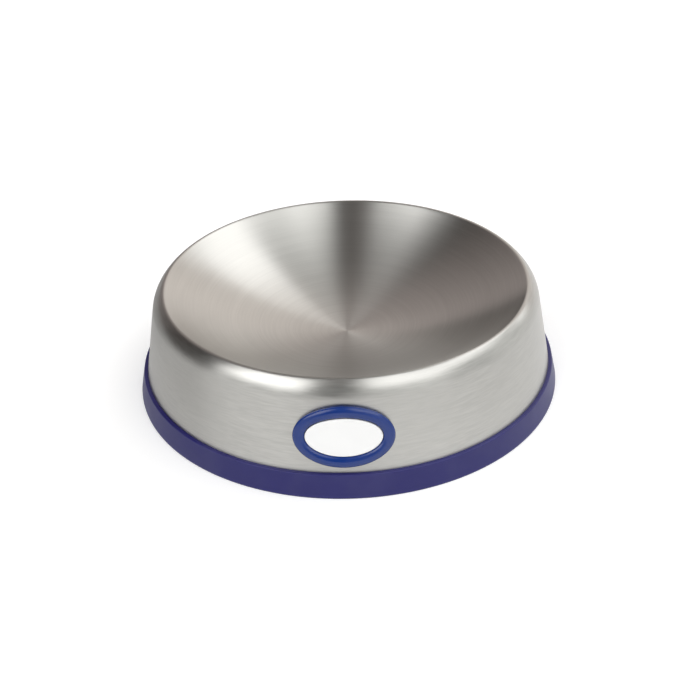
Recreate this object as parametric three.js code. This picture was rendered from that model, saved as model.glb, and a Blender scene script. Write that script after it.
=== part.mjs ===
// A low cat bowl: one drawn stainless steel shell, a rubber ring bonded round its foot, and an oval
// rubber badge with a blank plate on its front. Millimetres, +Z up. The origin is on the floor, in
// the middle of the base, and the badge faces -Y.
import * as THREE from 'three';

// Steel shell
const BOWL_HEIGHT = 41.85; // floor to the crest of the rim
const SHEET = 0.9; // thickness of the steel
const SKIRT_LEAN = 10.3; // degrees, how far the skirt leans in from upright
const CREST_RADIUS = 1.4; // outside radius of the rim's crest, where the dish turns over
const SHOULDER_RADIUS = 10.3; // outside radius of the shoulder, from the crest down to the skirt
const SHOULDER_START = 52; // degrees above level that the steel faces where the shoulder starts
const DISH_DEPTH = 23.85; // crest of the rim down to the middle of the dish

// Base ring
const BASE_DIAMETER = 165; // where the ring's outer face meets the floor
const RING_HEIGHT = 9.1; // floor to the ledge
const RING_FLARE = 2; // how much further out the outer face is at the floor than at the ledge
const RING_LEDGE = 1.25; // width of the rubber ledge outside the steel
const RING_SOLE = 2.2; // rubber between the floor and the bottom of the groove
const RING_SOLE_WIDTH = 9.5; // width of the sole from its outer to its inner edge
const RING_LIP = 2.2; // thickness of the lip inside the skirt, at its top
const RING_LIP_HEIGHT = 7; // floor to the top of that lip
const RING_FLOOR_EDGE = 0.9; // rounding of the outer edge at the floor
const RING_LEDGE_EDGE = 0.45; // rounding of the ledge's outer edge and of the lip
const GRIP_GROOVES = 2; // shallow grooves round the sole
const GRIP_GROOVE_WIDTH = 1.2;
const GRIP_GROOVE_DEPTH = 0.7;

// Adhesive in the ring's groove, under the edge of the skirt
const BOND_THICKNESS = 0.6;

// Badge, measured on the face of the skirt
const BADGE_WIDTH = 34.8; // outside the bezel, round the skirt
const BADGE_HEIGHT = 22.7; // outside the bezel, up the skirt
const BADGE_ABOVE_LEDGE = 13.75; // ledge of the ring up to the middle of the badge
const BEZEL_WIDTH = 4.1; // width of the raised bead
const BEZEL_RISE = 2.45; // height of the bead's crown above the steel
const BEZEL_SIDE = 0.3; // upright inner side of the bead, below its crown
const BEZEL_WALL = 1.5; // outer wall of the bead, which closes round the pad
const PLATE_THICKNESS = 0.8;
const PLATE_EDGE = 0.2; // bevel round the face of the plate
const PAD_THICKNESS = 0.5;

// Clearances
const FIT_GAP = 0.2; // between a piece and the one that it is bonded to

// Fineness of the round surfaces
const TURN_STEPS = 64;
const OVAL_STEPS = 40;
const DISH_STEPS = 8;
const CREST_STEPS = 4;
const SHOULDER_STEPS = 5;
const CROWN_STEPS = 8;
const EDGE_STEPS = 2;
const DISC_STEPS = 4;
const MOST_ROUNDED = 0.3; // most of a wall that the rounding of one of its edges may take

// Where the skirt stands: its outer face is a straight line in section, set by the ring's ledge.
const lean = THREE.MathUtils.degToRad(SKIRT_LEAN);
const acrossSheet = SHEET / Math.cos(lean);
const acrossGap = FIT_GAP / Math.cos(lean);
const floorRadius = BASE_DIAMETER / 2;
const ledgeRadius = floorRadius - RING_FLARE;
const skirtRadiusAtLedge = ledgeRadius - RING_LEDGE - acrossGap;
const skirtOutside = (z) => skirtRadiusAtLedge - (z - RING_HEIGHT) * Math.tan(lean);
const skirtInside = (z) => skirtOutside(z) - acrossSheet;
const grooveOutside = (z) => skirtOutside(z) + acrossGap;
const grooveInside = (z) => skirtInside(z) - acrossGap;
const bondBottom = RING_SOLE + FIT_GAP;
const bondTop = bondBottom + BOND_THICKNESS;
const skirtEdge = bondTop + FIT_GAP;

const point = (r, z) => new THREE.Vector2(r, z);

// A section of radius and height, closed on itself or on the axis, turned about +Z.
function turned(section, steps = TURN_STEPS) {
  return new THREE.LatheGeometry(section, steps).rotateX(Math.PI / 2);
}

// A closed section from corners [radius, height, rounding]. A rounding is limited by its two walls.
function roundedSection(corners) {
  const points = corners.flatMap(([r, z, rounding = 0], i) => {
    const corner = point(r, z);
    if (rounding === 0) return [corner];
    const [before, after] = [corners.at(i - 1), corners[(i + 1) % corners.length]].map((next) => {
      const wall = point(next[0], next[1]).sub(corner);
      return corner.clone().add(wall.setLength(Math.min(rounding, wall.length() * MOST_ROUNDED)));
    });
    return new THREE.QuadraticBezierCurve(before, corner, after).getPoints(EDGE_STEPS);
  });
  return [...points, points[0].clone()];
}

// The shell is one sheet: a spherical dish, a tight crest, a wider shoulder and the straight skirt,
// each of which runs smoothly into the next. Its two faces share their centres, so the sheet is even.
function steelBowl() {
  const shoulderStart = THREE.MathUtils.degToRad(SHOULDER_START);
  const crestHeight = BOWL_HEIGHT - CREST_RADIUS;
  const inward = new THREE.Vector2(-Math.cos(shoulderStart), -Math.sin(shoulderStart))
    .multiplyScalar(SHOULDER_RADIUS - CREST_RADIUS);
  const shoulderHeight = crestHeight + inward.y;
  const shoulderCentre = point(
    skirtOutside(shoulderHeight) - SHOULDER_RADIUS / Math.cos(lean), shoulderHeight);
  const crestCentre = shoulderCentre.clone().sub(inward);

  const dishBottom = BOWL_HEIGHT - DISH_DEPTH;
  const drop = crestHeight - dishBottom;
  const dishRadius = (crestCentre.x ** 2 + drop ** 2 - CREST_RADIUS ** 2) / (2 * (CREST_RADIUS + drop));
  const dishSlope = Math.asin(crestCentre.x / (dishRadius + CREST_RADIUS));

  const dish = (radius) => new THREE.ArcCurve(0, dishBottom + dishRadius, radius,
    -Math.PI / 2, dishSlope - Math.PI / 2, false).getPoints(DISH_STEPS);
  const crest = (radius) => new THREE.ArcCurve(crestCentre.x, crestCentre.y, radius,
    dishSlope + Math.PI / 2, shoulderStart, true).getPoints(CREST_STEPS);
  const shoulder = (radius) => new THREE.ArcCurve(shoulderCentre.x, shoulderCentre.y, radius,
    shoulderStart, lean, true).getPoints(SHOULDER_STEPS);

  // One face from the dish's middle to the top of the skirt; the inner one is a sheet's thickness in.
  const face = (inset) => [
    ...dish(dishRadius + inset),
    ...crest(CREST_RADIUS - inset).slice(1),
    ...shoulder(SHOULDER_RADIUS - inset).slice(1),
  ];
  return turned([
    ...face(SHEET),
    point(skirtInside(skirtEdge), skirtEdge),
    point(skirtOutside(skirtEdge), skirtEdge),
    ...face(0).reverse(),
  ]);
}

// The ring is a channel over the edge of the skirt, with a sole that has grip grooves.
function baseRing() {
  const soleInside = floorRadius - RING_SOLE_WIDTH;
  const grooveSpacing = RING_SOLE_WIDTH / (GRIP_GROOVES + 1);
  const gripGrooves = Array.from({ length: GRIP_GROOVES }, (_, i) => {
    const middle = soleInside + grooveSpacing * (i + 1);
    const inner = middle - GRIP_GROOVE_WIDTH / 2;
    const outer = middle + GRIP_GROOVE_WIDTH / 2;
    return [[inner, 0], [inner, GRIP_GROOVE_DEPTH], [outer, GRIP_GROOVE_DEPTH], [outer, 0]];
  }).flat();
  return turned(roundedSection([
    [soleInside, 0, RING_LEDGE_EDGE],
    ...gripGrooves,
    [floorRadius, 0, RING_FLOOR_EDGE],
    [ledgeRadius, RING_HEIGHT, RING_LEDGE_EDGE],
    [grooveOutside(RING_HEIGHT), RING_HEIGHT],
    [grooveOutside(RING_SOLE), RING_SOLE],
    [grooveInside(RING_SOLE), RING_SOLE],
    [grooveInside(RING_LIP_HEIGHT), RING_LIP_HEIGHT, RING_LEDGE_EDGE],
    [grooveInside(RING_LIP_HEIGHT) - RING_LIP, RING_LIP_HEIGHT, RING_LEDGE_EDGE],
  ]));
}

// The bond is a flat bead that lies in the groove's bottom with the edge of the skirt on it.
function ringBond() {
  return turned(roundedSection([
    [grooveInside(bondBottom) + acrossGap, bondBottom],
    [grooveOutside(bondBottom) - acrossGap, bondBottom],
    [grooveOutside(bondTop) - acrossGap, bondTop],
    [grooveInside(bondTop) + acrossGap, bondTop],
  ]));
}

// The badge's pieces are turned round, stretched to the oval and wrapped on the skirt. Their
// sections give the oval's half height and the distance out of the steel.
const beadMiddle = (BADGE_HEIGHT - BEZEL_WIDTH) / 2;
const openingHalfHeight = BADGE_HEIGHT / 2 - BEZEL_WIDTH;
const ovalStretch = (BADGE_WIDTH - BADGE_HEIGHT) / 2;
const badgeMiddle = RING_HEIGHT + BADGE_ABOVE_LEDGE;
const padTop = FIT_GAP + PAD_THICKNESS;
const badgeSeat = padTop + FIT_GAP;
const padHalfHeight = BADGE_HEIGHT / 2 - BEZEL_WALL - FIT_GAP;
const plateHalfHeight = openingHalfHeight - FIT_GAP;

// Every oval outside the plate's edge is wider than it is high by the same length, so that gaps
// are even; inside it the ovals shrink to the middle.
function wrapOnSkirt(geometry) {
  const radius = skirtOutside(badgeMiddle);
  const place = geometry.attributes.position;
  for (let i = 0; i < place.count; i += 1) {
    const [x, up, out] = [place.getX(i), place.getY(i), place.getZ(i)];
    const halfHeight = Math.max(Math.hypot(x, up), plateHalfHeight);
    const turn = x * (1 + ovalStretch / halfHeight) / radius;
    const r = radius - up * Math.sin(lean) + out * Math.cos(lean);
    const z = badgeMiddle + up * Math.cos(lean) + out * Math.sin(lean);
    place.setXYZ(i, r * Math.sin(turn), -r * Math.cos(turn), z);
  }
  geometry.computeVertexNormals();
  return geometry;
}

// A half-round bead. Its outer wall reaches the steel, and its inner half sits on the pad.
function badgeBezel() {
  const crownFoot = badgeSeat + BEZEL_SIDE;
  const crown = new THREE.EllipseCurve(beadMiddle, crownFoot,
    BEZEL_WIDTH / 2, BEZEL_RISE - crownFoot, 0, Math.PI).getPoints(CROWN_STEPS);
  const wallInside = BADGE_HEIGHT / 2 - BEZEL_WALL;
  const section = [
    point(openingHalfHeight, badgeSeat),
    point(wallInside, badgeSeat),
    point(wallInside, FIT_GAP),
    point(BADGE_HEIGHT / 2, FIT_GAP),
    ...crown,
    point(openingHalfHeight, badgeSeat),
  ];
  return wrapOnSkirt(turned(section, OVAL_STEPS));
}

// A flat oval disc from one distance out of the steel to another, with a bevel round its face.
function ovalDisc(halfHeight, bottom, top, bevel) {
  const steps = Array.from({ length: DISC_STEPS }, (_, i) => i / DISC_STEPS);
  const back = steps.map((step) => point(halfHeight * step, bottom));
  const face = steps.map((step) => point((halfHeight - bevel) * step, top)).reverse();
  const edge = [point(halfHeight, bottom), point(halfHeight, top - bevel)];
  const shoulder = bevel > 0 ? [point(halfHeight - bevel, top)] : [];
  return wrapOnSkirt(turned([...back, ...edge, ...shoulder, ...face], OVAL_STEPS));
}

const badgePlate = () => ovalDisc(plateHalfHeight, badgeSeat, badgeSeat + PLATE_THICKNESS, PLATE_EDGE);
const badgePad = () => ovalDisc(padHalfHeight, FIT_GAP, padTop, 0);

const finish = (color, roughness, metalness) =>
  new THREE.MeshStandardMaterial({ color, roughness, metalness });
const steel = finish(0xb4b2ae, 0.35, 1);
const indigoRubber = finish(0x3b3870, 0.6, 0);
const blueRubber = finish(0x2c4796, 0.45, 0);
const whiteEnamel = finish(0xf6f6f4, 0.3, 0);
const adhesive = finish(0x2f3034, 0.8, 0);

function piece(name, geometry, material) {
  const mesh = new THREE.Mesh(geometry, material);
  mesh.name = name;
  return mesh;
}

const badge = new THREE.Group().add(
  piece('badge_pad', badgePad(), adhesive),
  piece('badge_bezel', badgeBezel(), blueRubber),
  piece('badge_plate', badgePlate(), whiteEnamel),
);

const bowl = new THREE.Group().add(
  piece('steel_bowl', steelBowl(), steel),
  piece('base_ring', baseRing(), indigoRubber),
  piece('ring_bond', ringBond(), adhesive),
  badge,
);

export default bowl;
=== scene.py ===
"""Dresses a low cat bowl: a brushed steel shell, an indigo rubber base ring and an oval rubber badge.

Everything is in metres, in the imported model's frame: +Z up, the floor at z = 0, the badge facing -Y.
"""

from math import asin, cos, pi, radians, sin, tan

import bpy
import numpy as np
from mathutils import Matrix, Vector


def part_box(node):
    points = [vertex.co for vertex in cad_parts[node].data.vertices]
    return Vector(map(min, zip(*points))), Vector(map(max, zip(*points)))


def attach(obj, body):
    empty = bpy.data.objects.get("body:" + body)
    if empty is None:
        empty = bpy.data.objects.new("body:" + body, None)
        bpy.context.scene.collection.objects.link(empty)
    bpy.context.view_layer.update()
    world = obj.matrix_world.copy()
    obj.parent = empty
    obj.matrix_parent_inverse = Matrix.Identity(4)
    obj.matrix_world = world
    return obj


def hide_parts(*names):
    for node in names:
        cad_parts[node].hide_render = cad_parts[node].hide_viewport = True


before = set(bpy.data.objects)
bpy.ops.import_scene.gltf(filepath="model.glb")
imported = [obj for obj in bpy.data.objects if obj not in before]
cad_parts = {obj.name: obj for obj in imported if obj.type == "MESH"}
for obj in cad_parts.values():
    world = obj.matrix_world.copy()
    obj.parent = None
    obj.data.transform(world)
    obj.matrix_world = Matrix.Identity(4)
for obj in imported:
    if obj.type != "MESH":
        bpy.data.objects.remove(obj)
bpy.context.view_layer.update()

bl_info = {
    "name": "Cat Bowl",
    "version": (1, 0, 0),
    "blender": (4, 5, 0),
    "location": "View3D > Sidebar > Cat Bowl",
    "description": "Builds the finished surfaces of a low steel cat bowl with a rubber base ring",
    "category": "Add Mesh",
}

BODY = "root"

# What the surfaces carry for their finishes: distance along the section, and nearness to an edge
ALONG = "along"
EDGE = "edge"

# Steps round the bowl and round the badge, and points along each stretch of a section
BOWL_AROUND = 256
BADGE_AROUND = 192
DISH_POINTS = 72
CREST_POINTS = 18
SHOULDER_POINTS = 22
SKIRT_POINTS = 24
BEAD_POINTS = 33
PLATE_BACK_POINTS = 12
PLATE_EDGE_POINTS = 8
PLATE_FACE_POINTS = 24

# The shell's finishes, in the order of its materials
DISH, SKIRT, INSIDE = range(3)
# How dark the brushed skirt is painted beside the turned dish: painted shade, a darker copy of the same
# steel that dims its reflections
SKIRT_PAINTED_SHADE = 0.875

# Places of the Mix node's colour sockets, whose names it repeats for other kinds of data
MIX_FACTOR, MIX_FIRST, MIX_SECOND = 0, 6, 7
MIX_RESULT = 2

WHITE = (1.0, 1.0, 1.0, 1.0)

# The frame of the photograph and the camera's sensor
PHOTO_PIXELS = 700
SENSOR_MM = 36.0
CLIP_START = 0.01

# The floor. FLOOR_LIFT is the glow that takes it up to white
FLOOR_HALF = 4.0
FLOOR_LIFT = 0.41
# Where the steel mirrors that glow, a painted light and no lamp: it comes up from the left, has a share in
# front and dims to the right
GLOW_LEFT_X = (-0.14, -0.03)
GLOW_FRONT_Y = (-0.04, -0.12)
GLOW_FRONT_SHARE = 0.7
GLOW_RIGHT_X = (0.05, 0.16)
GLOW_RIGHT_SHARE = 0.55
# Painted shade seen only in the steel: the corner at the back left, which the steel mirrors darker
CORNER_X = (-0.06, -0.14)
CORNER_Y = (-0.02, 0.08)
CORNER_PAINTED_SHADE = 0.6

# The room's light as (place, level, tint). A place on the walls is a turn: 0 and 1 in front of the bowl,
# 0.25 on its left, 0.5 behind it and 0.75 on its right. On the ceiling it goes from left, 0, to right, 1
NEUTRAL = (0.99, 1.0, 0.985)
BROWN = (1.1, 0.965, 0.935)
BEIGE = (1.06, 0.985, 0.935)
WALL_LIGHT = (
    (0.0, 0.12, NEUTRAL), (0.035, 0.08, NEUTRAL), (0.07, 0.6, NEUTRAL),
    (0.165, 0.8, NEUTRAL), (0.205, 0.06, NEUTRAL), (0.32, 0.06, BROWN),
    (0.42, 0.3, BROWN), (0.475, 0.42, BROWN), (0.53, 0.93, BEIGE),
    (0.57, 0.98, BEIGE), (0.615, 0.78, BEIGE), (0.66, 0.7, NEUTRAL),
    (0.72, 1.0, NEUTRAL), (0.8, 0.6, NEUTRAL), (0.86, 1.1, NEUTRAL),
    (0.94, 0.72, NEUTRAL), (0.975, 0.58, NEUTRAL), (1.0, 0.12, NEUTRAL),
)
CEILING_LIGHT = (
    (0.25, 0.16, NEUTRAL), (0.3, 0.2, NEUTRAL), (0.37, 0.43, NEUTRAL), (0.45, 0.14, BROWN),
    (0.515, 0.04, BROWN), (0.565, 1.0, NEUTRAL), (0.625, 1.4, NEUTRAL), (0.75, 0.6, NEUTRAL),
)
# The ceiling takes over from the walls over this rise, in degrees, and darkens towards the back
CEILING_RISE = (46.0, 61.0)
CEILING_BACK_Y = (0.0, 0.4)
CEILING_BACK_SHARE = 0.65
CEILING_BACK = (0.05, 0.048, 0.047, 1.0)
# Panels with soft edges: (turn, half its turn, rise, half its rise, level), with rises in degrees
LIGHT_PANELS = (
    (0.1445, 0.0745, 43.0, 20.5, 3.15),  # front left, high
    (0.2, 0.017, 12.0, 13.0, 1.05),  # left, low
    (0.736, 0.128, 47.8, 12.0, 2.25),  # right, high
    (0.896, 0.068, 51.0, 20.5, 2.4),  # front right, high
    (0.4775, 0.0245, 0.0, 21.0, 0.05),  # behind, low and dark
    (0.65, 0.017, 20.5, 7.5, 2.4),  # back right, low
    (0.602, 0.021, 50.0, 9.0, 2.2),  # back right, high
)
PANEL_SOFT_TURN = 0.006
PANEL_SOFT_RISE = 3.0


def length(name, description, default):
    """A size in metres that a user can change."""
    return bpy.props.FloatProperty(
        name=name, description=description, default=default, min=0.0, unit="LENGTH", precision=5
    )


def colour(name, description, red, green, blue):
    """A colour from its sRGB values, 0 to 255, held as Blender holds it, in linear light."""
    linear = [((c / 255 + 0.055) / 1.055) ** 2.4 for c in (red, green, blue)]
    return bpy.props.FloatVectorProperty(
        name=name, description=description, default=linear, min=0.0, max=1.0, subtype="COLOR"
    )


def angle(name, description, degrees):
    """An angle, given in degrees and held in radians."""
    return bpy.props.FloatProperty(
        name=name, description=description, default=radians(degrees), subtype="ANGLE"
    )


class ShellSizes(bpy.types.PropertyGroup):
    """Sizes of the drawn steel shell."""

    height: length("Height", "Floor to the crest of the rim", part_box("steel_bowl")[1].z)
    edge_height: length("Edge Height", "Floor to the edge of the skirt, inside the ring", 0.0032)
    sheet: length("Sheet", "Thickness of the steel", 0.0009)
    lean: angle("Skirt Lean", "How far the skirt leans in from upright", 10.3)
    crest_radius: length("Crest Radius", "Outside radius of the crest, round to the dish", 0.0014)
    shoulder_radius: length("Shoulder Radius", "Outside radius from the crest down to the skirt", 0.0103)
    shoulder_start: angle("Shoulder Start", "How far above level the shoulder faces at its top", 52)
    dish_depth: length("Dish Depth", "Crest of the rim down to the middle of the dish", 0.02384)
    edge_radius: length("Edge Radius", "Rounding of the cut edge of the sheet", 0.0002)


class RingSizes(bpy.types.PropertyGroup):
    """Sizes of the rubber base ring."""

    floor_diameter: length("Floor Diameter", "Where the outer face meets the floor", 0.165)
    height: length("Height", "Floor to the ledge", 0.0091)
    flare: length("Flare", "How much further out the outer face is at the floor", 0.002)
    ledge: length("Ledge", "Width of the rubber ledge outside the steel", 0.00125)
    gap: length("Gap", "Clearance between the rubber and the steel", 0.0002)
    seal: length("Seal", "Clearance at the mouth of the groove and at the foot of the bezel", 0.00003)
    sole: length("Sole", "Rubber between the floor and the bottom of the groove", 0.0022)
    sole_width: length("Sole Width", "Outer to inner edge of the sole", 0.0095)
    lip: length("Lip", "Thickness of the lip inside the skirt", 0.0022)
    lip_height: length("Lip Height", "Floor to the top of the lip", 0.007)
    floor_edge: length("Floor Edge", "Rounding of the outer edge at the floor", 0.0012)
    ledge_edge: length("Ledge Edge", "Rounding of the ledge, the lip and the sole's inner edge", 0.00045)
    grip_grooves: bpy.props.IntProperty(
        name="Grip Grooves", description="Shallow grooves round the sole", default=2, min=0
    )
    grip_width: length("Grip Width", "Width of a grip groove", 0.0012)
    grip_depth: length("Grip Depth", "Depth of a grip groove", 0.0007)
    grip_edge: length("Grip Edge", "Rounding of the grooves' edges", 0.00015)


class BadgeSizes(bpy.types.PropertyGroup):
    """Sizes of the oval badge, measured on the face of the skirt."""

    width: length("Width", "Outside the bezel, round the skirt", 0.0348)
    height: length("Height", "Outside the bezel, up the skirt", 0.0227)
    above_ledge: length("Above Ledge", "Ledge of the ring up to the middle of the badge", 0.01375)
    bezel_width: length("Bezel Width", "Width of the raised bead", 0.0041)
    bezel_rise: length("Bezel Rise", "Height of the bead above the steel", 0.00245)
    bezel_side: length("Bezel Side", "Upright inner side of the bead", 0.0003)
    bezel_wall: length("Bezel Wall", "Outer wall of the bead, round the pad", 0.0015)
    seat: length("Seat", "Distance of the plate's back from the steel", 0.0009)
    plate: length("Plate", "Thickness of the plate", 0.0008)
    plate_edge: length("Plate Edge", "Rounding round the face of the plate", 0.0002)


class Finishes(bpy.types.PropertyGroup):
    """Colours of the finishes."""

    # The skirt takes this colour with painted shade on it: a darker copy of the same steel
    steel: colour("Steel", "Turned steel of the dish; the brushed skirt is darker", 197, 196, 192)
    mill_steel: colour("Mill Steel", "Underside of the shell, not brushed", 176, 175, 172)
    ring: colour("Ring", "Indigo rubber of the base ring", 26, 24, 94)
    bezel: colour("Bezel", "Blue rubber of the badge", 12, 48, 120)
    plate: colour("Plate", "White enamel of the blank plate", 250, 250, 249)
    bond: colour("Bond", "Cured adhesive", 48, 49, 53)
    floor: colour("Floor", "Studio floor", 219, 219, 219)


class Studio(bpy.types.PropertyGroup):
    """Where the camera stands and how it is aimed."""

    camera_turn: angle("Camera Turn", "Turn of the camera about the bowl, from the badge's front", 1.75)
    camera_rise: angle("Camera Rise", "Camera above the level of its pivot", 30.99)
    camera_distance: length("Camera Distance", "Camera to its pivot, on the bowl's axis", 0.466)
    camera_roll: angle("Camera Roll", "Clockwise turn of the camera about its view", 1.94)
    pivot_height: length("Pivot Height", "Height of the point that the camera circles", 0.02)
    aim_height: length("Aim Height", "Height of the point in the middle of the frame", 0.009)
    aim_right: bpy.props.FloatProperty(
        name="Aim Right", description="The same point's distance right of the axis",
        default=0.0009, unit="LENGTH", precision=5,
    )
    focal_pixels: bpy.props.FloatProperty(
        name="Focal Length", description="In pixels of the square frame", default=1182.0, min=1.0
    )


class BowlSettings(bpy.types.PropertyGroup):
    """All that a user would change on the bowl."""

    shell: bpy.props.PointerProperty(type=ShellSizes)
    ring: bpy.props.PointerProperty(type=RingSizes)
    badge: bpy.props.PointerProperty(type=BadgeSizes)
    finish: bpy.props.PointerProperty(type=Finishes)
    studio: bpy.props.PointerProperty(type=Studio)


# Sections and surfaces


def arc(centre, radius, start, end, count):
    """Points centre + radius (cos t, sin t), t running evenly from start to end."""
    t = np.linspace(start, end, count)
    return np.column_stack([centre[0] + radius * np.cos(t), centre[1] + radius * np.sin(t)])


def line(start, end, count):
    """Points start + t (end - start), t running evenly from 0 to 1."""
    t = np.linspace(0.0, 1.0, count)[:, None]
    return np.asarray(start) + t * (np.asarray(end) - np.asarray(start))


def rounded_section(corners, steps=8, support=0.25, wall_share=0.3):
    """A closed section from (radius, height, rounding) corners.

    A rounded corner is the quadratic curve (1-t)^2 a + 2t(1-t) c + t^2 b between points a and b that lie
    the rounding away from the corner c on its two walls, or a share of the wall where that is less. One
    more point on each wall, a little further along it, keeps the wall's shading flat. Returns the points
    and how near each one is to an edge.
    """
    places = np.array([c[:2] for c in corners])
    points, edges = [], []
    for i, (place, (_, _, rounding)) in enumerate(zip(places, corners)):
        walls = [places[i - 1] - place, places[(i + 1) % len(places)] - place]
        spans = [np.linalg.norm(wall) for wall in walls]
        ends = [wall / span * min(rounding, wall_share * span) for wall, span in zip(walls, spans)]
        t = np.linspace(0.0, 1.0, steps)[:, None]
        curve = place + (1 - t) ** 2 * ends[0] + t**2 * ends[1]
        before = place + ends[0] * (1 + support)
        after = place + ends[1] * (1 + support)
        points.append(np.vstack([before, curve, after]))
        edges.append(np.concatenate([[0.0], np.ones(steps), [0.0]]))
    return np.vstack(points), np.concatenate(edges)


def skirt_radius(height):
    """The skirt's outer face: a straight line in section, set by the ledge of the ring."""
    settings = bpy.context.scene.cat_bowl
    ring, lean = settings.ring, settings.shell.lean
    at_ledge = ring.floor_diameter / 2 - ring.flare - ring.ledge - ring.gap / cos(lean)
    return at_ledge - (height - ring.height) * tan(lean)


def add_mesh(name, points, faces, material_indices=None, **attributes):
    """A smooth object at the origin from points and faces, with a number per point for each attribute."""
    mesh = bpy.data.meshes.new(name)
    mesh.from_pydata(points.tolist(), [], faces)
    mesh.shade_smooth()
    for key, values in attributes.items():
        layer = mesh.attributes.new(key, "FLOAT", "POINT")
        layer.data.foreach_set("value", np.asarray(values, np.float32))
    if material_indices is not None:
        mesh.polygons.foreach_set("material_index", material_indices)
    mesh.update()
    piece = bpy.data.objects.new(name, mesh)
    bpy.context.collection.objects.link(piece)
    return piece


def grid_faces(around, along, closed):
    """Quads of a grid that closes round its first index, and round its second too if it is closed."""
    i, j = np.meshgrid(np.arange(around), np.arange(along if closed else along - 1), indexing="ij")
    here, beyond = i * along, (i + 1) % around * along
    j_next = (j + 1) % along
    return np.stack([here + j, beyond + j, beyond + j_next, here + j_next], -1).reshape(-1, 4)


def turned(section, around):
    """The grid (r_j cos a_i, r_j sin a_i, z_j) of a section turned about +Z, as an array of points."""
    a = np.linspace(0.0, 2 * pi, around, endpoint=False)[:, None]
    r, z = section.T
    heights = np.broadcast_to(z, (around, len(z)))
    return np.stack([np.cos(a) * r, np.sin(a) * r, heights], -1).reshape(-1, 3)


def run_length(section):
    """Distance along a section from its first point to each point."""
    steps = np.linalg.norm(np.diff(section, axis=0), axis=1)
    return np.concatenate([[0.0], np.cumsum(steps)])


def ring_surface(name, section, edge, around, place=None):
    """A closed section turned into a ring, then put in its place. It carries its nearness to an edge."""
    points = turned(section, around)
    if place:
        points = place(points)
    faces = grid_faces(around, len(section), closed=True).tolist()
    return add_mesh(name, points, faces, **{EDGE: np.tile(edge, around)})


def pole_surface(name, section, around, place=None, finishes=None):
    """A section from axis to axis, turned, then put in its place. It carries the distance along it.

    Its two ends are single points, closed with triangles. The finishes are the material's number for
    the faces that start at each point of the section.
    """
    inner = section[1:-1]
    count = len(inner)
    poles = np.array([[0.0, 0.0, section[0, 1]], [0.0, 0.0, section[-1, 1]]])
    points = np.vstack([turned(inner, around), poles])
    if place:
        points = place(points)
    ring = np.arange(around) * count
    ring_next = np.roll(ring, -1)
    first = np.full(around, around * count)
    start = np.column_stack([first, ring_next, ring])
    end = np.column_stack([first + 1, ring + count - 1, ring_next + count - 1])
    faces = grid_faces(around, count, closed=False).tolist() + start.tolist() + end.tolist()
    run = run_length(section)
    along = np.concatenate([np.tile(run[1:-1], around), run[[0, -1]]])
    indices = None
    if finishes is not None:
        ends = np.repeat(finishes[[0, -1]], around)
        indices = np.concatenate([np.tile(finishes[1:-2], around), ends]).astype(np.int32)
    return add_mesh(name, points, faces, indices, **{ALONG: along})


def on_skirt(points):
    """Wraps points (x, up, out) on the skirt: stretched to the oval, then bent round the cone.

    With h the distance from the badge's middle, or the plate's half height where that is more, x is
    stretched by 1 + (width - height) / 2h. With R the skirt's radius at the badge, the radius is
    R - up sin(lean) + out cos(lean), the height is the badge's middle + up cos(lean) + out sin(lean), and
    the turn is the stretched x over R.
    """
    settings = bpy.context.scene.cat_bowl
    badge, lean = settings.badge, settings.shell.lean
    middle = settings.ring.height + badge.above_ledge
    radius = skirt_radius(middle)
    plate_half = badge.height / 2 - badge.bezel_width - settings.ring.gap
    x, up, out = points.T
    half = np.maximum(np.hypot(x, up), plate_half)
    turn = x * (1 + (badge.width - badge.height) / 2 / half) / radius
    r = radius - up * sin(lean) + out * cos(lean)
    z = middle + up * cos(lean) + out * sin(lean)
    return np.column_stack([r * np.sin(turn), -r * np.cos(turn), z])


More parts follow.
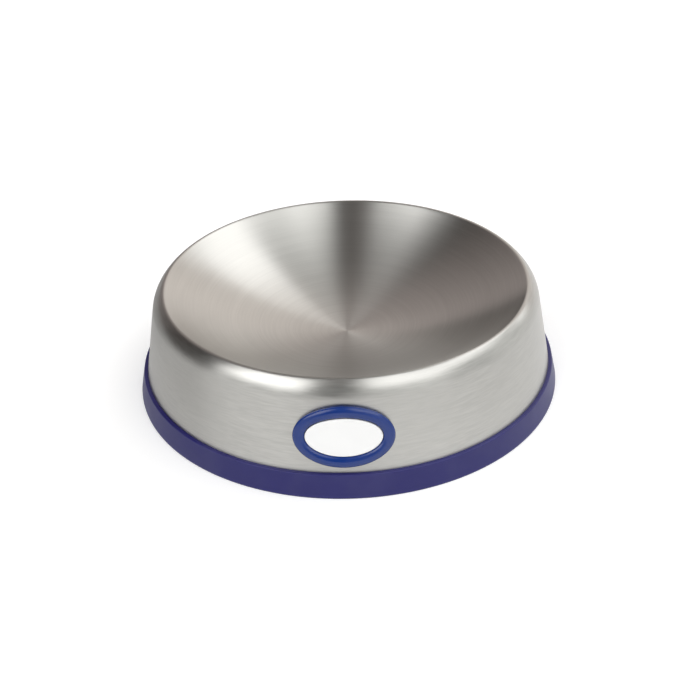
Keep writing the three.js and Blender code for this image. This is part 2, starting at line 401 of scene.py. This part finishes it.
def shell_section(shell):
    """The sheet's section, from the underside's middle round the skirt's edge to the dish's middle.

    The shoulder's circle touches the skirt's line, the crest's circle touches the shoulder's from inside,
    and the dish is a sphere that touches the crest. With c the crest centre's distance from the axis, d
    the drop from it to the dish's middle and q the crest's radius, the sphere's radius is
    (c^2 + d^2 - q^2) / (2 (q + d)). Returns the points and the finish of the faces that start at each:
    the skirt's goes up to the top of the crest, and the inside's takes in the cut edge.
    """
    start, wide, tight = shell.shoulder_start, shell.shoulder_radius, shell.crest_radius
    crest_height = shell.height - tight
    shoulder_height = crest_height - (wide - tight) * sin(start)
    shoulder = (skirt_radius(shoulder_height) - wide / cos(shell.lean), shoulder_height)
    crest = (shoulder[0] + (wide - tight) * cos(start), crest_height)
    bottom = shell.height - shell.dish_depth
    drop = crest_height - bottom
    dish_radius = (crest[0] ** 2 + drop**2 - tight**2) / (2 * (tight + drop))
    slope = asin(crest[0] / (dish_radius + tight))

    def face(inset):
        """The dish, the crest and the shoulder, an inset deep in the sheet."""
        return np.vstack([
            arc((0.0, bottom + dish_radius), dish_radius + inset, -pi / 2, slope - pi / 2, DISH_POINTS),
            arc(crest, tight - inset, slope + pi / 2, start, CREST_POINTS)[1:],
            arc(shoulder, wide - inset, start, shell.lean, SHOULDER_POINTS)[1:],
        ])

    def inner_radius(height):
        """The skirt's inner face."""
        return skirt_radius(height) - shell.sheet / cos(shell.lean)

    low, soft = shell.edge_height, shell.edge_radius
    foot = low + 2 * soft
    inside, outside = face(shell.sheet), face(0.0)
    inside = np.vstack([inside, line(inside[-1], (inner_radius(foot), foot), SKIRT_POINTS)[1:]])
    outside = np.vstack([
        line((skirt_radius(foot), foot), outside[-1], SKIRT_POINTS)[:-1],
        outside[::-1],
    ])
    cut_edge = np.array([
        (inner_radius(low + soft), low + soft),
        (inner_radius(low) + soft / 2, low + soft / 4),
        (inner_radius(low) + 1.5 * soft, low),
        (skirt_radius(low) - 1.5 * soft, low),
        (skirt_radius(low) - soft / 2, low + soft / 4),
        (skirt_radius(low + soft), low + soft),
    ])
    points = np.vstack([inside, cut_edge, outside])
    points[[0, -1], 0] = 0.0
    past_crest = np.arange(len(outside)) >= np.argmax(outside[:, 1])
    unseen = np.full(len(inside) + len(cut_edge), INSIDE)
    finishes = np.concatenate([unseen, np.where(past_crest, DISH, SKIRT)])
    return points, finishes


def ring_section(ring, shell):
    """A channel over the edge of the skirt, with a sole that has grip grooves.

    Returns the points and how near each one is to an edge.
    """
    lean = shell.lean
    clear = ring.gap / cos(lean)
    across = shell.sheet / cos(lean)
    floor_radius = ring.floor_diameter / 2
    inside = floor_radius - ring.sole_width
    spacing = ring.sole_width / (ring.grip_grooves + 1)
    lip_outside = skirt_radius(ring.lip_height) - across - clear
    soft = ring.ledge_edge
    corners = [(inside, 0.0, soft)]
    for groove in range(ring.grip_grooves):
        middle = inside + spacing * (groove + 1)
        low, high = middle - ring.grip_width / 2, middle + ring.grip_width / 2
        for radius, height in ((low, 0.0), (low, ring.grip_depth), (high, ring.grip_depth), (high, 0.0)):
            corners.append((radius, height, ring.grip_edge))
    corners += [
        (floor_radius, 0.0, ring.floor_edge),
        (floor_radius - ring.flare, ring.height, soft),
        (skirt_radius(ring.height) + ring.seal, ring.height, ring.seal),
        (skirt_radius(ring.sole) + clear, ring.sole, ring.grip_edge),
        (skirt_radius(ring.sole) - across - clear, ring.sole, ring.grip_edge),
        (lip_outside, ring.lip_height, soft),
        (lip_outside - ring.lip, ring.lip_height, soft),
    ]
    return rounded_section(corners)


def bezel_section(badge, ring):
    """Half-round bead (m + w cos t, f + h sin t) on a foot whose inner part sits on the pad.

    m is the middle of the bead, w half its width, f its foot and h its height above the foot. Returns
    the points and how near each one is to an edge.
    """
    outside, half_width = badge.height / 2, badge.bezel_width / 2
    foot = badge.seat + badge.bezel_side
    crown = arc((0.0, 0.0), 1.0, 0.0, pi, BEAD_POINTS)
    crown = crown * (half_width, badge.bezel_rise - foot) + (outside - half_width, foot)
    wall = outside - badge.bezel_wall
    underside = np.array([
        (outside - badge.bezel_width, badge.seat),
        (wall, badge.seat),
        (wall, ring.seal),
        (outside, ring.seal),
    ])
    edge = np.concatenate([np.ones(len(underside)), np.zeros(len(crown))])
    return np.vstack([underside, crown]), edge


def plate_section(badge, ring):
    """A plate from back to face, whose face is softly rounded at its edge."""
    half = badge.height / 2 - badge.bezel_width - ring.gap
    top = badge.seat + badge.plate
    soft = badge.plate_edge
    return np.vstack([
        line((0.0, badge.seat), (half, badge.seat), PLATE_BACK_POINTS),
        arc((half - soft, top - soft), soft, 0.0, pi / 2, PLATE_EDGE_POINTS),
        line((half - soft, top), (0.0, top), PLATE_FACE_POINTS)[1:],
    ])


# Finishes


def add_node(tree, kind, inputs=None, **settings):
    """A new node with its settings. An input, by name or number, takes a socket's value or a plain one."""
    made = tree.nodes.new(kind)
    for key, value in settings.items():
        setattr(made, key, value)
    for key, value in (inputs or {}).items():
        if isinstance(value, bpy.types.NodeSocket):
            tree.links.new(value, made.inputs[key])
        else:
            made.inputs[key].default_value = value
    return made


def math_node(tree, operation, first, second):
    """operation(first, second), where each is a socket or a number."""
    return add_node(tree, "ShaderNodeMath", {0: first, 1: second}, operation=operation).outputs[0]


def noise(tree, vector, scale, detail=2.0, roughness=0.5):
    """A noise texture's factor over a vector."""
    inputs = {"Vector": vector, "Scale": scale, "Detail": detail, "Roughness": roughness}
    return add_node(tree, "ShaderNodeTexNoise", inputs).outputs["Fac"]


def sized_noise(tree, size, detail):
    """Noise on Object coordinates, whose spots are about as wide as the size."""
    place = add_node(tree, "ShaderNodeTexCoord").outputs["Object"]
    return noise(tree, place, math_node(tree, "DIVIDE", 1.0, size), detail)


def remap(tree, value, low, high):
    """A factor from 0 to 1 spread over low to high."""
    inputs = {"Value": value, "To Min": low, "To Max": high}
    return add_node(tree, "ShaderNodeMapRange", inputs).outputs["Result"]


def smooth_step(tree, value, start, end):
    """0 at the start and 1 at the end, with a smooth step between them. The end may be the lower one."""
    inputs = {
        "Value": value,
        "From Min": min(start, end),
        "From Max": max(start, end),
        "To Min": float(start > end),
        "To Max": float(start < end),
    }
    made = add_node(tree, "ShaderNodeMapRange", inputs, interpolation_type="SMOOTHSTEP")
    return made.outputs["Result"]


def mix_colour(tree, factor, first, second):
    """first where the factor is 0, second where it is 1."""
    inputs = {MIX_FACTOR: factor, MIX_FIRST: first, MIX_SECOND: second}
    return add_node(tree, "ShaderNodeMix", inputs, data_type="RGBA").outputs[MIX_RESULT]


def distance_from(tree, value, middle):
    """How far a value is from the middle, either way."""
    return math_node(tree, "ABSOLUTE", math_node(tree, "SUBTRACT", value, middle), 0.0)


def ramp(tree, value, stops):
    """A colour ramp from (place, level, tint) stops."""
    made = add_node(tree, "ShaderNodeValToRGB", {"Fac": value})
    elements = made.color_ramp.elements
    while len(elements) < len(stops):
        elements.new(1.0)
    for element, (place, level, tint) in zip(elements, stops):
        element.position = place
        element.color = (*(level * c for c in tint), 1.0)
    return made.outputs["Color"]


def bump(tree, height, distance, strength):
    """A normal from a height."""
    inputs = {"Height": height, "Distance": distance, "Strength": strength}
    return add_node(tree, "ShaderNodeBump", inputs).outputs["Normal"]


def new_group(name, inputs, outputs):
    """An empty shader node group with number sockets. Returns it with its input and output nodes."""
    group = bpy.data.node_groups.new(name, "ShaderNodeTree")
    for label, default in inputs.items():
        socket = group.interface.new_socket(label, in_out="INPUT", socket_type="NodeSocketFloat")
        socket.default_value = default
    for label in outputs:
        group.interface.new_socket(label, in_out="OUTPUT", socket_type="NodeSocketFloat")
    return group, group.nodes.new("NodeGroupInput"), group.nodes.new("NodeGroupOutput")


def brush_group():
    """Brush lines that run round the bowl's axis, and wider bands of them.

    The texture is read at (x / l, y / l, s / w): s the distance along the section, w the width of a line
    and l its length, so the lines follow circles about the axis.
    """
    dull_end, bright_end = 0.25, 0.75
    group, given, out = new_group(
        "brush_lines", {"Line Width": 0.0005, "Line Length": 0.006}, ("Lines", "Bands")
    )
    place = add_node(group, "ShaderNodeTexCoord").outputs["Object"]
    flat = add_node(group, "ShaderNodeVectorMath", {0: place, 1: (1.0, 1.0, 0.0)}, operation="MULTIPLY")
    per_length = math_node(group, "DIVIDE", 1.0, given.outputs["Line Length"])
    spread = add_node(
        group, "ShaderNodeVectorMath", {0: flat.outputs[0], "Scale": per_length}, operation="SCALE"
    )
    along = add_node(group, "ShaderNodeAttribute", attribute_name=ALONG).outputs["Fac"]
    across = math_node(group, "DIVIDE", along, given.outputs["Line Width"])
    lift = add_node(group, "ShaderNodeCombineXYZ", {"Z": across})
    vector = add_node(
        group, "ShaderNodeVectorMath", {0: spread.outputs[0], 1: lift.outputs[0]}, operation="ADD"
    )
    for label, scale in (("Lines", 1.0), ("Bands", 0.25)):
        streaks = noise(group, vector.outputs[0], scale, detail=1.0, roughness=0.6)
        group.links.new(smooth_step(group, streaks, dull_end, bright_end), out.inputs[label])
    return group


def handling_group():
    """Soft smudges that handling leaves, from Object coordinates."""
    clean_end, smudged_end = 0.42, 0.7
    group, given, out = new_group("handling", {"Smudge Size": 0.03}, ("Smudge",))
    clouds = sized_noise(group, given.outputs["Smudge Size"], detail=3.0)
    group.links.new(smooth_step(group, clouds, clean_end, smudged_end), out.inputs["Smudge"])
    return group


def grain_group():
    """Fine grain of a moulded rubber face, with slow mottling, from Object coordinates."""
    group, given, out = new_group(
        "mould_grain", {"Grain Size": 0.0004, "Mottle Size": 0.012}, ("Grain", "Mottle")
    )
    for label, detail in (("Grain", 2.0), ("Mottle", 3.0)):
        group.links.new(sized_noise(group, given.outputs[f"{label} Size"], detail), out.inputs[label])
    return group


def use_group(tree, name, **sizes):
    """Places a shared group in a material with its own sizes, and returns the group's outputs.

    The group is built the first time that it is asked for.
    """
    makers = {"brush_lines": brush_group, "handling": handling_group, "mould_grain": grain_group}
    group = bpy.data.node_groups.get(name) or makers[name]()
    inputs = {key.replace("_", " ").title(): size for key, size in sizes.items()}
    return add_node(tree, "ShaderNodeGroup", inputs, node_tree=group).outputs


def new_material(name, **constants):
    """A material with a Principled shader, whose constant values are set on its own sockets."""
    material = bpy.data.materials.new(name)
    material.use_nodes = True
    tree = material.node_tree
    shader = tree.nodes["Principled BSDF"]
    for key, value in constants.items():
        shader.inputs[key.replace("_", " ")].default_value = value
    return material, tree, shader


def shade(rgb, factor):
    """A colour times a factor, as RGBA."""
    return (*(min(1.0, c * factor) for c in rgb[:3]), 1.0)


def steel_finish(name, rgb, roughness, spread, anisotropy, line_width, line_length, contrast, relief):
    """Brushed sheet: bright and dull lines round the axis, and faint smudges.

    Highlights spread across the lines. No part is smoother than 0.274: below that the denoiser takes the
    steel for a mirror, and where the two meet it leaves blotches.
    """
    quarter_turn = 0.25
    line_share, band_share, line_depth = 0.65, 0.35, 0.000015
    smudge_cover, smudge_shade, smudge_dulling = 0.5, 0.96, 0.012
    material, tree, shader = new_material(
        name, Metallic=1.0, Anisotropic=anisotropy, Anisotropic_Rotation=quarter_turn
    )
    tangent = add_node(tree, "ShaderNodeTangent", direction_type="RADIAL", axis="Z")
    tree.links.new(tangent.outputs[0], shader.inputs["Tangent"])
    brush = use_group(tree, "brush_lines", line_width=line_width, line_length=line_length)
    smudge = use_group(tree, "handling", smudge_size=0.035)["Smudge"]
    lines = remap(tree, brush["Lines"], 0.0, line_share)
    tone = math_node(tree, "ADD", lines, remap(tree, brush["Bands"], 0.0, band_share))
    brushed = mix_colour(tree, tone, shade(rgb, 1.0 - contrast), shade(rgb, 1.0 + contrast))
    cover = remap(tree, smudge, 0.0, smudge_cover)
    tree.links.new(mix_colour(tree, cover, brushed, shade(rgb, smudge_shade)), shader.inputs["Base Color"])
    uneven = remap(tree, tone, roughness - spread, roughness + spread)
    dull = math_node(tree, "ADD", uneven, remap(tree, smudge, 0.0, smudge_dulling))
    tree.links.new(dull, shader.inputs["Roughness"])
    tree.links.new(bump(tree, tone, line_depth, relief), shader.inputs["Normal"])
    return material


def rubber_finish(name, rgb, roughness, grain_size, shine):
    """Moulded rubber: fine grain, slow mottling, paler worn edges and a faint film of dust."""
    mottling, wear, worn_shade = 0.08, 0.3, 1.5
    dust_cover, dust = 0.025, (0.5, 0.5, 0.55, 1.0)
    unevenness, smudge_dulling = 0.06, 0.04
    grain_depth, relief = 0.00003, 0.4
    material, tree, shader = new_material(name, IOR=1.5, Specular_IOR_Level=shine)
    grain = use_group(tree, "mould_grain", grain_size=grain_size)
    smudge = use_group(tree, "handling", smudge_size=0.02)["Smudge"]
    edge = add_node(tree, "ShaderNodeAttribute", attribute_name=EDGE).outputs["Fac"]
    body = mix_colour(tree, grain["Mottle"], shade(rgb, 1.0 - mottling), shade(rgb, 1.0 + mottling))
    worn = math_node(tree, "MULTIPLY", edge, remap(tree, grain["Mottle"], 0.0, wear))
    body = mix_colour(tree, worn, body, shade(rgb, worn_shade))
    dusty = mix_colour(tree, remap(tree, smudge, 0.0, dust_cover), body, dust)
    tree.links.new(dusty, shader.inputs["Base Color"])
    uneven = remap(tree, grain["Grain"], roughness - unevenness, roughness + unevenness)
    dull = math_node(tree, "ADD", uneven, remap(tree, smudge, -smudge_dulling, smudge_dulling))
    tree.links.new(dull, shader.inputs["Roughness"])
    tree.links.new(bump(tree, grain["Grain"], grain_depth, relief), shader.inputs["Normal"])
    return material


def enamel_finish(name, rgb):
    """Glossy white enamel with a slow ripple and faint smudges."""
    smudge_shade, clean_roughness, smudge_roughness = 0.985, 0.28, 0.33
    ripples_per_metre, ripple_depth, relief = 260.0, 0.00004, 0.3
    material, tree, shader = new_material(name, IOR=1.5, Coat_Weight=0.4, Coat_Roughness=0.08)
    smudge = use_group(tree, "handling", smudge_size=0.008)["Smudge"]
    body = mix_colour(tree, smudge, shade(rgb, 1.0), shade(rgb, smudge_shade))
    tree.links.new(body, shader.inputs["Base Color"])
    tree.links.new(remap(tree, smudge, clean_roughness, smudge_roughness), shader.inputs["Roughness"])
    place = add_node(tree, "ShaderNodeTexCoord").outputs["Object"]
    ripple = noise(tree, place, ripples_per_metre)
    tree.links.new(bump(tree, ripple, ripple_depth, relief), shader.inputs["Normal"])
    return material


def finish_piece(piece, slot, node, *materials):
    """Gives a piece its materials, fixes it to the body and hides the solid it stands for. The slot is not
    used.
    """
    for material in materials:
        piece.data.materials.append(material)
    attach(piece, BODY)
    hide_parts(node)


# Stage


def add_floor(rgb):
    """A pale floor, wide enough to fill the frame, that glows up to white for the camera.

    In the steel the glow, a painted light, comes up from the left, has a share in front and dims to the
    right, and the corner at the back left is darker with painted shade.
    """
    half = FLOOR_HALF
    corners = np.array([(-half, -half, 0.0), (half, -half, 0.0), (half, half, 0.0), (-half, half, 0.0)])
    floor = add_mesh("floor", corners, [(0, 1, 2, 3)])
    material, tree, shader = new_material(
        "floor_paper", Roughness=0.9, Specular_IOR_Level=0.1, Emission_Color=WHITE
    )
    path = add_node(tree, "ShaderNodeLightPath").outputs
    place = add_node(tree, "ShaderNodeTexCoord").outputs["Object"]
    x, y, _ = add_node(tree, "ShaderNodeSeparateXYZ", {0: place}).outputs
    mirrored = math_node(tree, "MAXIMUM", path["Is Glossy Ray"], path["Is Transmission Ray"])

    # Painted shade: a darker corner of the floor that only the steel mirrors; the camera sees the paper
    # even
    painted_corner_mask = math_node(tree, "MULTIPLY", smooth_step(tree, x, *CORNER_X), smooth_step(tree, y, *CORNER_Y))
    painted_dark_reflection = math_node(tree, "MULTIPLY", mirrored, painted_corner_mask)
    paper_and_painted_corner = mix_colour(tree, painted_dark_reflection, shade(rgb, 1.0), shade(rgb, CORNER_PAINTED_SHADE))
    tree.links.new(paper_and_painted_corner, shader.inputs["Base Color"])

    # Painted light seen only in the steel: the floor glows more on the left and in front, and less to the
    # right
    front = remap(tree, smooth_step(tree, y, *GLOW_FRONT_Y), 0.0, GLOW_FRONT_SHARE)
    painted_glow_mask = math_node(tree, "MAXIMUM", smooth_step(tree, x, *GLOW_LEFT_X), front)
    fade = remap(tree, smooth_step(tree, x, *GLOW_RIGHT_X), 1.0, GLOW_RIGHT_SHARE)
    painted_glow_in_steel = math_node(tree, "MULTIPLY", math_node(tree, "MULTIPLY", mirrored, painted_glow_mask), fade)
    seen = math_node(tree, "MAXIMUM", path["Is Camera Ray"], painted_glow_in_steel)
    tree.links.new(math_node(tree, "MULTIPLY", seen, FLOOR_LIFT), shader.inputs["Emission Strength"])
    floor.data.materials.append(material)


def add_room(scene):
    """Room light by its direction: walls that change round the bowl, a ceiling and soft panels.

    The camera sees the room as plain white.
    """
    world = bpy.data.worlds.new("room")
    scene.world = world
    world.use_nodes = True
    tree = world.node_tree
    way = add_node(tree, "ShaderNodeTexCoord").outputs["Generated"]
    x, y, z = add_node(tree, "ShaderNodeSeparateXYZ", {0: way}).outputs
    bearing = math_node(tree, "DIVIDE", math_node(tree, "ARCTAN2", x, y), 2 * pi)
    turn = math_node(tree, "ADD", bearing, 0.5)
    rise = math_node(tree, "DIVIDE", math_node(tree, "ARCSINE", z, 0.0), radians(1.0))
    walls = ramp(tree, turn, WALL_LIGHT)
    left_to_right = math_node(tree, "ADD", math_node(tree, "MULTIPLY", x, 0.5), 0.5)
    ceiling = ramp(tree, left_to_right, CEILING_LIGHT)
    to_back = remap(tree, smooth_step(tree, y, *CEILING_BACK_Y), 0.0, CEILING_BACK_SHARE)
    ceiling = mix_colour(tree, to_back, ceiling, CEILING_BACK)
    room = mix_colour(tree, smooth_step(tree, rise, *CEILING_RISE), walls, ceiling)
    for panel_turn, half_turn, panel_rise, half_rise, level in LIGHT_PANELS:
        off_turn = distance_from(tree, turn, panel_turn)
        off_rise = distance_from(tree, rise, panel_rise)
        mask = math_node(
            tree, "MULTIPLY",
            smooth_step(tree, off_turn, half_turn + PANEL_SOFT_TURN, half_turn - PANEL_SOFT_TURN),
            smooth_step(tree, off_rise, half_rise + PANEL_SOFT_RISE, half_rise - PANEL_SOFT_RISE),
        )
        room = mix_colour(tree, mask, room, (level, level, level, 1.0))
    seen = add_node(tree, "ShaderNodeLightPath").outputs["Is Camera Ray"]
    tree.links.new(mix_colour(tree, seen, room, WHITE), tree.nodes["Background"].inputs["Color"])


def add_camera(scene, studio):
    """A camera at the photograph's view: it circles the pivot, looks at the aim and is rolled."""
    turn, rise = studio.camera_turn, studio.camera_rise
    out = Vector((sin(turn) * cos(rise), -cos(turn) * cos(rise), sin(rise)))
    place = Vector((0.0, 0.0, studio.pivot_height)) + out * studio.camera_distance
    side = Vector((cos(turn), sin(turn), 0.0))
    aim = side * studio.aim_right + Vector((0.0, 0.0, studio.aim_height))
    back = (place - aim).normalized()
    level = Vector((0.0, 0.0, 1.0)).cross(back).normalized()
    right = level * cos(studio.camera_roll) - back.cross(level) * sin(studio.camera_roll)
    lens = bpy.data.cameras.new("camera")
    lens.sensor_width = SENSOR_MM
    lens.lens = studio.focal_pixels / PHOTO_PIXELS * SENSOR_MM
    lens.clip_start = CLIP_START
    camera = bpy.data.objects.new("camera", lens)
    bpy.context.collection.objects.link(camera)
    facing = Matrix((right, back.cross(right), back)).transposed().to_4x4()
    camera.matrix_world = Matrix.Translation(place) @ facing
    scene.camera = camera


# Operators


class CATBOWL_OT_steel_shell(bpy.types.Operator):
    """Builds the steel dish, rim and skirt"""

    bl_idname = "cat_bowl.steel_shell"
    bl_label = "Steel Shell"

    def execute(self, context):
        settings = context.scene.cat_bowl
        section, finishes = shell_section(settings.shell)
        piece = pole_surface("steel_shell", section, BOWL_AROUND, finishes=finishes)
        steel = settings.finish.steel
        dish = steel_finish(
            "turned_steel", steel, roughness=0.284, spread=0.009, anisotropy=0.9,
            line_width=0.0007, line_length=0.03, contrast=0.045, relief=0.0,
        )
        # The skirt's steel colour carries painted shade, darker than the dish's
        skirt = steel_finish(
            "brushed_steel", shade(steel, SKIRT_PAINTED_SHADE), roughness=0.316, spread=0.04, anisotropy=0.7,
            line_width=0.0005, line_length=0.006, contrast=0.09, relief=0.25,
        )
        inside = steel_finish(
            "mill_steel", settings.finish.mill_steel, roughness=0.45, spread=0.04, anisotropy=0.5,
            line_width=0.0012, line_length=0.006, contrast=0.08, relief=0.25,
        )
        finish_piece(piece, "brushed_steel", "steel_bowl", dish, skirt, inside)
        return {"FINISHED"}


class CATBOWL_OT_base_ring(bpy.types.Operator):
    """Builds the indigo rubber ring round the foot of the skirt"""

    bl_idname = "cat_bowl.base_ring"
    bl_label = "Base Ring"

    def execute(self, context):
        settings = context.scene.cat_bowl
        section, edge = ring_section(settings.ring, settings.shell)
        piece = ring_surface("rubber_ring", section, edge, BOWL_AROUND)
        rubber = rubber_finish(
            "indigo_rubber", settings.finish.ring, roughness=0.44, grain_size=0.00035, shine=0.46
        )
        finish_piece(piece, "ring_rubber", "base_ring", rubber)
        return {"FINISHED"}


class CATBOWL_OT_badge(bpy.types.Operator):
    """Builds the badge's rubber bezel and its blank plate"""

    bl_idname = "cat_bowl.badge"
    bl_label = "Badge"

    def execute(self, context):
        settings = context.scene.cat_bowl
        section, edge = bezel_section(settings.badge, settings.ring)
        bezel = ring_surface("bezel_bead", section, edge, BADGE_AROUND, on_skirt)
        rubber = rubber_finish(
            "blue_rubber", settings.finish.bezel, roughness=0.2, grain_size=0.0003, shine=0.5
        )
        finish_piece(bezel, "badge_rubber", "badge_bezel", rubber)
        section = plate_section(settings.badge, settings.ring)
        plate = pole_surface("blank_plate", section, BADGE_AROUND, on_skirt)
        enamel = enamel_finish("white_enamel", settings.finish.plate)
        finish_piece(plate, "badge_enamel", "badge_plate", enamel)
        return {"FINISHED"}


class CATBOWL_OT_bonds(bpy.types.Operator):
    """Gives the adhesive under the ring and the badge its finish"""

    bl_idname = "cat_bowl.bonds"
    bl_label = "Adhesive"

    def execute(self, context):
        bond = context.scene.cat_bowl.finish.bond
        adhesive = rubber_finish("cured_adhesive", bond, roughness=0.6, grain_size=0.0005, shine=0.5)
        for name in ("ring_bond", "badge_pad"):
            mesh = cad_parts[name].data
            mesh.materials.clear()
            mesh.materials.append(adhesive)
        return {"FINISHED"}


class CATBOWL_OT_studio(bpy.types.Operator):
    """Sets the floor, the room's light and the camera"""

    bl_idname = "cat_bowl.studio"
    bl_label = "Studio"

    def execute(self, context):
        settings = context.scene.cat_bowl
        add_floor(settings.finish.floor)
        add_room(context.scene)
        add_camera(context.scene, settings.studio)
        context.scene.view_settings.view_transform = "Standard"
        return {"FINISHED"}


class CATBOWL_PT_panel(bpy.types.Panel):
    """Lists the steps that build the bowl"""

    bl_idname = "CATBOWL_PT_panel"
    bl_label = "Cat Bowl"
    bl_space_type = "VIEW_3D"
    bl_region_type = "UI"
    bl_category = "Cat Bowl"

    def draw(self, context):
        for step in STEPS:
            self.layout.operator(step.bl_idname)


STEPS = (
    CATBOWL_OT_steel_shell,
    CATBOWL_OT_base_ring,
    CATBOWL_OT_badge,
    CATBOWL_OT_bonds,
    CATBOWL_OT_studio,
)
CLASSES = (ShellSizes, RingSizes, BadgeSizes, Finishes, Studio, BowlSettings, *STEPS, CATBOWL_PT_panel)


def register():
    """Adds the classes and the scene's settings."""
    for each in CLASSES:
        bpy.utils.register_class(each)
    bpy.types.Scene.cat_bowl = bpy.props.PointerProperty(type=BowlSettings)


def unregister():
    """Takes the settings and the classes away again."""
    del bpy.types.Scene.cat_bowl
    for each in reversed(CLASSES):
        bpy.utils.unregister_class(each)


def main():
    """Builds the bowl and its studio."""
    register()
    bpy.ops.cat_bowl.steel_shell()
    bpy.ops.cat_bowl.base_ring()
    bpy.ops.cat_bowl.badge()
    bpy.ops.cat_bowl.bonds()
    bpy.ops.cat_bowl.studio()


if __name__ == "__main__":
    main()
